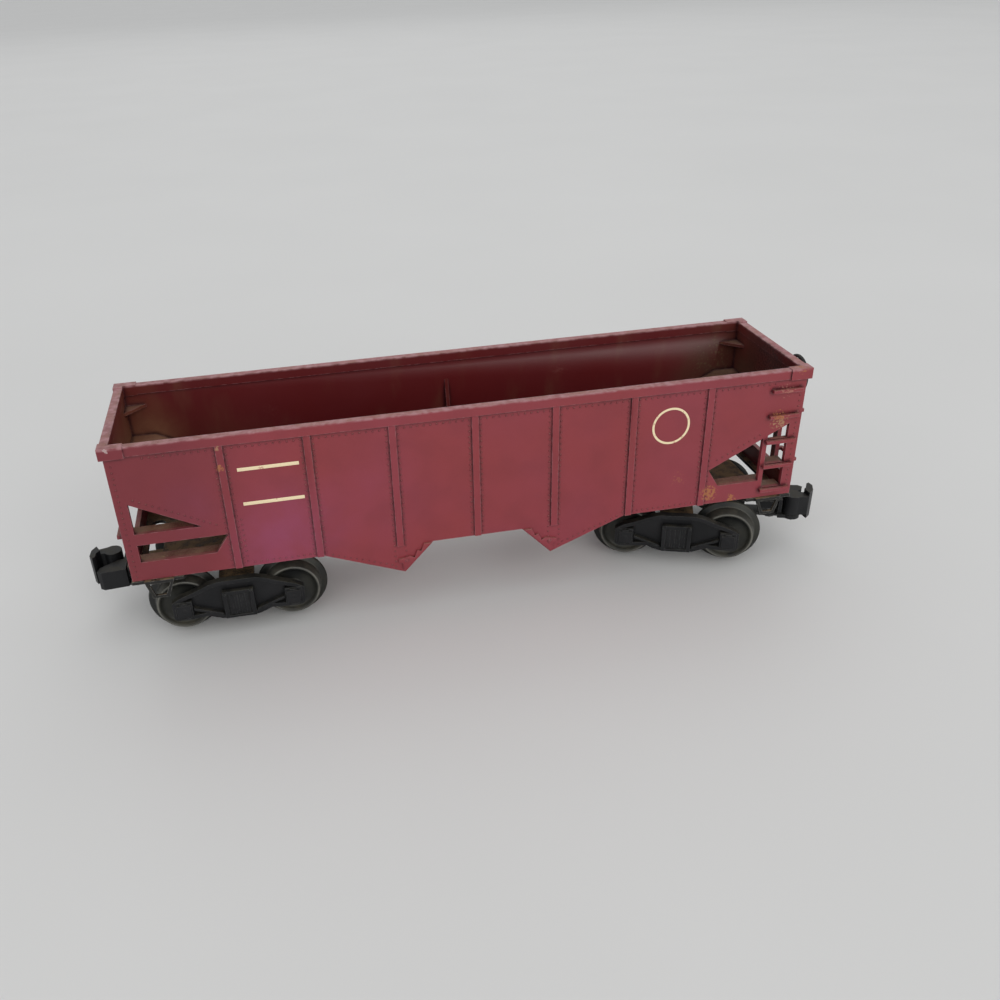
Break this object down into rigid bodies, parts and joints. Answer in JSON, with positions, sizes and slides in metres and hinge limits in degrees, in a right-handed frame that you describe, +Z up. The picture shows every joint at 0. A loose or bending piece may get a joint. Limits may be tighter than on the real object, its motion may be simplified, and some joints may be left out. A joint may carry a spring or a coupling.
{
  "type": "model hopper car",
  "caption": "Toy-gauge open hopper car: moulded body with sloping ends and discharge bays, swivelling trucks, opening knuckle couplers and a brake wheel.",
  "frame": {"origin": "on the track plane that the wheel flanges stand on, midway between the two truck pivots, on the car's centre line", "axes": "+X along the car towards the brake-wheel end, +Z up, +Y across the car"},
  "size_m": [0.2433, 0.06, 0.0693],
  "materials": {
    "maroon_plastic": "satin moulded plastic, dusty",
    "black_steel": "black painted sheet steel",
    "black_casting": "blackened die casting, dusty",
    "wheel_metal": "blackened sintered metal, worn bright on the tread",
    "axle_steel": "plain steel",
    "rivet_steel": "darkened steel",
    "washer_brass": "dull brass"
  },
  "bodies": {
    "car": {"hopper_body": "maroon_plastic", "end_frame_a": "black_steel", "end_frame_b": "black_steel", "frame_screw_a_left": "rivet_steel", "frame_screw_a_right": "rivet_steel", "frame_screw_b_left": "rivet_steel", "frame_screw_b_right": "rivet_steel", "pivot_rivet_a": "rivet_steel", "pivot_rivet_b": "rivet_steel", "brake_pin": "black_steel"},
    "brake_wheel": {"brake_wheel": "black_steel"},
    "truck_a": {"truck_bolster_a": "black_steel", "pivot_washer_a": "washer_brass", "side_frame_left_a": "black_casting", "side_frame_right_a": "black_casting", "axle_inner_a": "axle_steel", "axle_outer_a": "axle_steel", "coupler_head_a": "black_casting", "coupler_rivet_a": "rivet_steel", "knuckle_pin_a": "rivet_steel", "armature_pin_a": "rivet_steel"},
    "wheel_outer_left_a": {"wheel_outer_left_a": "wheel_metal"},
    "wheel_outer_right_a": {"wheel_outer_right_a": "wheel_metal"},
    "wheel_inner_left_a": {"wheel_inner_left_a": "wheel_metal"},
    "wheel_inner_right_a": {"wheel_inner_right_a": "wheel_metal"},
    "knuckle_a": {"knuckle_a": "black_casting"},
    "armature_a": {"armature_a": "black_steel", "armature_button_a": "rivet_steel"},
    "truck_b": {"truck_bolster_b": "black_steel", "pivot_washer_b": "washer_brass", "side_frame_left_b": "black_casting", "side_frame_right_b": "black_casting", "axle_inner_b": "axle_steel", "axle_outer_b": "axle_steel", "coupler_head_b": "black_casting", "coupler_rivet_b": "rivet_steel", "knuckle_pin_b": "rivet_steel", "armature_pin_b": "rivet_steel"},
    "wheel_outer_left_b": {"wheel_outer_left_b": "wheel_metal"},
    "wheel_outer_right_b": {"wheel_outer_right_b": "wheel_metal"},
    "wheel_inner_left_b": {"wheel_inner_left_b": "wheel_metal"},
    "wheel_inner_right_b": {"wheel_inner_right_b": "wheel_metal"},
    "knuckle_b": {"knuckle_b": "black_casting"},
    "armature_b": {"armature_b": "black_steel", "armature_button_b": "rivet_steel"}
  },
  "joints": [
    {"name": "truck_a_swivel", "type": "hinge", "parent": "car", "child": "truck_a", "pos_m": [-0.07695, 0, 0.018], "axis": [0, 0, 1], "range_deg": [-21, 21]},
    {"name": "wheel_outer_left_a_spin", "type": "hinge", "parent": "truck_a", "child": "wheel_outer_left_a", "pos_m": [-0.0939, -0.0175, 0.01125], "axis": [0, -1, 0], "continuous": true},
    {"name": "wheel_outer_right_a_spin", "type": "hinge", "parent": "truck_a", "child": "wheel_outer_right_a", "pos_m": [-0.0939, 0.0175, 0.01125], "axis": [0, -1, 0], "continuous": true},
    {"name": "wheel_inner_left_a_spin", "type": "hinge", "parent": "truck_a", "child": "wheel_inner_left_a", "pos_m": [-0.06, -0.0175, 0.01125], "axis": [0, -1, 0], "continuous": true},
    {"name": "wheel_inner_right_a_spin", "type": "hinge", "parent": "truck_a", "child": "wheel_inner_right_a", "pos_m": [-0.06, 0.0175, 0.01125], "axis": [0, -1, 0], "continuous": true},
    {"name": "knuckle_a_open", "type": "hinge", "parent": "truck_a", "child": "knuckle_a", "pos_m": [-0.11655, 0.0044, 0.016], "axis": [0, 0, -1], "range_deg": [0, 45]},
    {"name": "armature_a_drop", "type": "hinge", "parent": "truck_a", "child": "armature_a", "pos_m": [-0.09955, 0, 0.0144], "axis": [0, -1, 0], "range_deg": [0, 12], "stiffness_Nm_per_rad": 0.01},
    {"name": "truck_b_swivel", "type": "hinge", "parent": "car", "child": "truck_b", "pos_m": [0.07695, 0, 0.018], "axis": [0, 0, 1], "range_deg": [-0.5, 41.5]},
    {"name": "wheel_outer_left_b_spin", "type": "hinge", "parent": "truck_b", "child": "wheel_outer_left_b", "pos_m": [0.09896, 0.01046, 0.01125], "axis": [0.3502, 0.9367, 0], "continuous": true},
    {"name": "wheel_outer_right_b_spin", "type": "hinge", "parent": "truck_b", "child": "wheel_outer_right_b", "pos_m": [0.0867, -0.02233, 0.01125], "axis": [0.3502, 0.9367, 0], "continuous": true},
    {"name": "wheel_inner_left_b_spin", "type": "hinge", "parent": "truck_b", "child": "wheel_inner_left_b", "pos_m": [0.0672, 0.02233, 0.01125], "axis": [0.3502, 0.9367, 0], "continuous": true},
    {"name": "wheel_inner_right_b_spin", "type": "hinge", "parent": "truck_b", "child": "wheel_inner_right_b", "pos_m": [0.05495, -0.01046, 0.01125], "axis": [0.3502, 0.9367, 0], "continuous": true},
    {"name": "knuckle_b_open", "type": "hinge", "parent": "truck_b", "child": "knuckle_b", "pos_m": [0.1125, -0.01799, 0.016], "axis": [0, 0, -1], "range_deg": [0, 45]},
    {"name": "armature_b_drop", "type": "hinge", "parent": "truck_b", "child": "armature_b", "pos_m": [0.09812, -0.00792, 0.0144], "axis": [0.3502, 0.9367, 0], "range_deg": [0, 12], "stiffness_Nm_per_rad": 0.01},
    {"name": "brake_wheel_spin", "type": "hinge", "parent": "car", "child": "brake_wheel", "pos_m": [0.11015, -0.0124, 0.0622], "axis": [1, 0, 0], "continuous": true}
  ]
}
